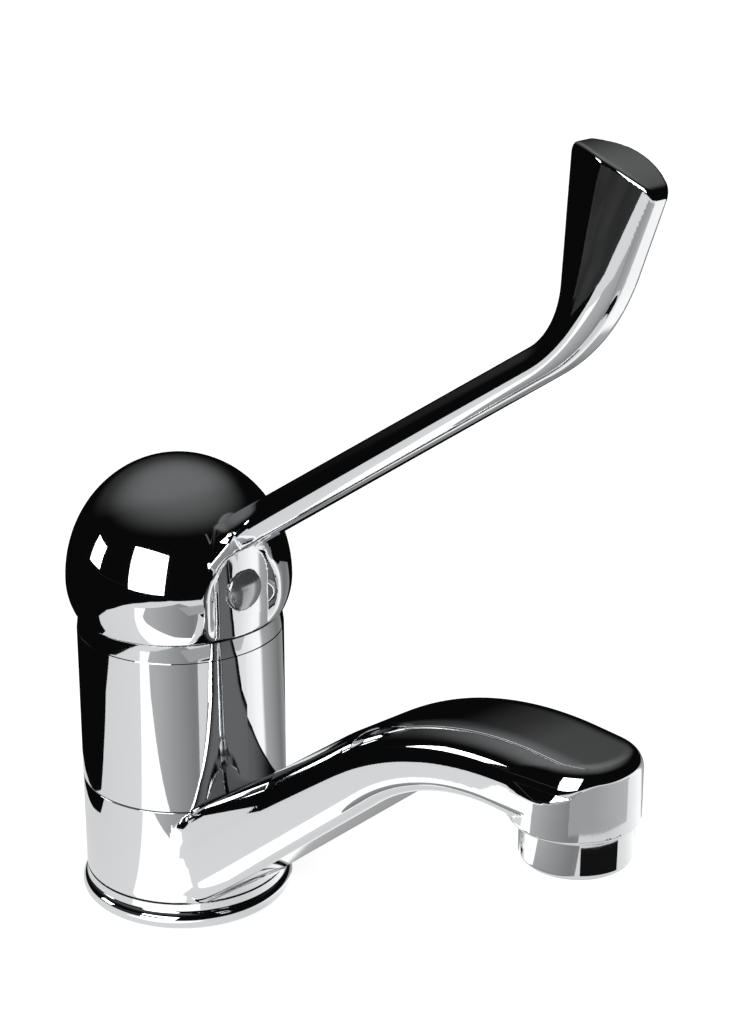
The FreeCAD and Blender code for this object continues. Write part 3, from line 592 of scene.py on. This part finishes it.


# Painted shadow of the tap: the low bands round the back, from 148 to -150 degrees; the other bands are painted
# light and shade of the table.
painted_shade_bands = [(-180, 0.15), (-150, 0.30), (-100, 0.56), (-40, 0.58), (6, 0.62), (64, 0.60),
               (95, 0.55), (118, 0.68), (136, 0.86), (144, 0.88), (148, 0.34), (179, 0.16)]
only_in_chrome(flat_sheet("painted_reflection_sheet",
                          [(-84, -123), (-84, -208), (-18, -328), (55, -411), (232, -513), (483, -511), (620, -230),
                           (620, 400), (50, 500), (-60, 300), (-47, 80), (-72, 47), (-82, 5), (-75, -20), (-64, -42),
                           (-56, -60), (-68, -84)],
                          painted_reflection_glow("painted table reflection", painted_shade_bands), -0.15))
# Painted highlight in the white wedge; painted shade in the grey wedge, the grey arc and the black arc round the
# head.
only_in_chrome(flat_sheet("painted_white_wedge", [(5, -33), (52, -326), (130, -320), (75, -30), (29, -17)],
                          painted_reflection_glow("painted white wedge", [(0, 0.97), (90, 1.0)]), -0.14))
only_in_chrome(flat_sheet("painted_grey_wedge", [(52, -50), (54, -150), (68, -220), (120, -330), (420, -330), (320, -118),
                                         (60, -28)],
                          painted_reflection_glow("painted grey wedge", [(0, 0.38), (25, 0.37), (45, 0.27), (64, 0.18), (74, 0.22)]),
                          -0.12))
only_in_chrome(flat_sheet("painted_grey_arc", ring_part(131, 148, 300, 35, 140),
                          painted_reflection_glow("painted grey arc", [(0, 0.30), (80, 0.30), (120, 0.42)]), -0.10))
only_in_chrome(flat_sheet("painted_black_arc", ring_part(131, 96, 137, 52, 130),
                          painted_reflection_glow("painted black arc", [(0, 0.004), (120, 0.006)]), -0.10))

# Dim sheet: a faintly glowing sheet hung in the air and seen in the chrome only, a painted reflection of dim shade
# on the flat side of the blade.
# It hangs level with the dome's widest line, so that the dome sees it edge on.
# Painted reflection: the sheet's faint, mottled glow paints dim shade on the blade's flat side.
dim = bpy.data.materials.new("painted dim blade reflection")
dim.use_nodes = True
nodes, links = dim.node_tree.nodes, dim.node_tree.links
nodes.clear()
dim_painted_glow = nodes.new("ShaderNodeEmission")
dim_shade_mottle = nodes.new("ShaderNodeTexNoise")
dim_shade_mottle.inputs["Scale"].default_value = 6
dim_tone = nodes.new("ShaderNodeMapRange")
dim_tone.inputs["From Min"].default_value = 0.3
dim_tone.inputs["From Max"].default_value = 0.7
dim_tone.inputs["To Min"].default_value = 0.025
dim_tone.inputs["To Max"].default_value = 0.042
links.new(dim_shade_mottle.outputs["Fac"], dim_tone.inputs["Value"])
links.new(dim_tone.outputs["Result"], dim_painted_glow.inputs["Strength"])
dim_out = nodes.new("ShaderNodeOutputMaterial")
links.new(dim_painted_glow.outputs["Emission"], dim_out.inputs["Surface"])
only_in_chrome(flat_sheet("painted_dim_sheet", [(-64, -239), (-23, -212), (68, -207), (95, -205), (174, -248), (205, -421),
                                        (-114, -512), (-250, -330), (-123, -235)], dim, 90))

# Room: a dark shell round the table, a painted reflection of the dark studio, with a painted glow on the ceiling
# behind that lights nothing.
# It gives the top of the dome its grey bloom and is seen in the chrome only.
shell_mesh = bpy.data.meshes.new("room")
bm = bmesh.new()
bmesh.ops.create_icosphere(bm, subdivisions=5, radius=1.6)
bm.to_mesh(shell_mesh)
bm.free()
room = bpy.data.objects.new("room", shell_mesh)
bpy.context.scene.collection.objects.link(room)
only_in_chrome(room)


def painted_glow_patches(name, patches, base):
    """Painted reflection, lighting nothing: glow on the room's wall; patches are (azimuth, elevation, full, none,
    strength), each brightest within full degrees of its direction and gone beyond none."""
    wall = bpy.data.materials.new(name)
    wall.use_nodes = True
    nodes, links = wall.node_tree.nodes, wall.node_tree.links
    nodes.clear()
    place = nodes.new("ShaderNodeTexCoord")
    unit = nodes.new("ShaderNodeVectorMath")
    unit.operation = "NORMALIZE"
    links.new(place.outputs["Object"], unit.inputs[0])
    total = None
    for azimuth, elevation, full, none, strength in patches:
        toward = nodes.new("ShaderNodeVectorMath")
        toward.operation = "DOT_PRODUCT"
        a, e = math.radians(azimuth), math.radians(elevation)
        toward.inputs[1].default_value = (math.sin(a) * math.cos(e), -math.cos(a) * math.cos(e), math.sin(e))
        links.new(unit.outputs["Vector"], toward.inputs[0])
        fade = nodes.new("ShaderNodeMapRange")
        fade.interpolation_type = "SMOOTHSTEP"
        fade.inputs["From Min"].default_value = math.cos(math.radians(none))
        fade.inputs["From Max"].default_value = math.cos(math.radians(full))
        fade.inputs["To Max"].default_value = strength
        links.new(toward.outputs["Value"], fade.inputs["Value"])
        more = nodes.new("ShaderNodeMath")
        more.inputs[0].default_value = base
        if total:
            links.new(total, more.inputs[0])
        links.new(fade.outputs["Result"], more.inputs[1])
        total = more.outputs["Value"]
    lamp = nodes.new("ShaderNodeEmission")
    links.new(total, lamp.inputs["Strength"])
    out = nodes.new("ShaderNodeOutputMaterial")
    links.new(lamp.outputs["Emission"], out.inputs["Surface"])
    return wall


# Painted reflection: the dark room and its glow patches are seen only in the chrome and light nothing.
shell_mesh.materials.append(painted_glow_patches("painted dark room", [(-127, 76, 8, 56, 0.125), (-114, 52, 28, 48, 0.034)], 0.003))

# Windows: two pale panes of soft light in front of the tap.
# They light it and stand as two bright patches in the dome.
pane_aim = Vector((0, 0, 0.09))


def window(name, az0, az1, el0, el1, dist, watts, roll=0):
    """Pane between two azimuths and two elevations in degrees, dist metres from the dome."""
    az, el = math.radians((az0 + az1) / 2), math.radians((el0 + el1) / 2)
    toward = Vector((math.sin(az) * math.cos(el), -math.cos(az) * math.cos(el), math.sin(el)))
    pane = bpy.data.lights.new(name, "AREA")
    pane.shape = "RECTANGLE"
    pane.size = 2 * dist * math.tan(math.radians((az1 - az0) / 2))
    pane.size_y = 2 * dist * math.tan(math.radians((el1 - el0) / 2))
    pane.energy = watts
    lamp = bpy.data.objects.new(name, pane)
    bpy.context.scene.collection.objects.link(lamp)
    lamp.location = pane_aim + toward * dist
    lamp.rotation_euler = ((-toward).to_track_quat("-Z", "Y").to_matrix()
                           @ Matrix.Rotation(math.radians(roll), 3, "Z")).to_euler()
    lamp.visible_camera = False
    return lamp


window("right_window", 1.5, 39, -2.5, 33, 0.9, 4, -2)
window("left_window", -50, -34, 2, 18, 0.9, 0.9)

# Surroundings and camera: even white behind the table, and a long lens on a stand.
# The camera looks from the photograph's viewing angle.
world = bpy.data.worlds.new("studio")
bpy.context.scene.world = world
world.use_nodes = True
nodes, links = world.node_tree.nodes, world.node_tree.links
level = nodes.new("ShaderNodeMath")
level.operation = "MULTIPLY_ADD"
level.inputs[1].default_value = 0.4
level.inputs[2].default_value = 0.6
links.new(background_sight(nodes, links), level.inputs[0])
links.new(level.outputs["Value"], nodes["Background"].inputs["Strength"])
nodes["Background"].inputs["Color"].default_value = (1, 1, 1, 1)

camera = bpy.data.cameras.new("camera")
camera.lens = 86.0687
camera.sensor_width = 36
camera_stand = bpy.data.objects.new("camera", camera)
bpy.context.scene.collection.objects.link(camera_stand)
camera_stand.location = (0.432076, -0.327284, 0.307060)
camera_stand.rotation_euler = Vector((-0.69381, 0.62471, -0.35827)).to_track_quat("-Z", "Y").to_euler()
bpy.context.scene.camera = camera_stand
bpy.context.scene.view_settings.view_transform = "Standard"
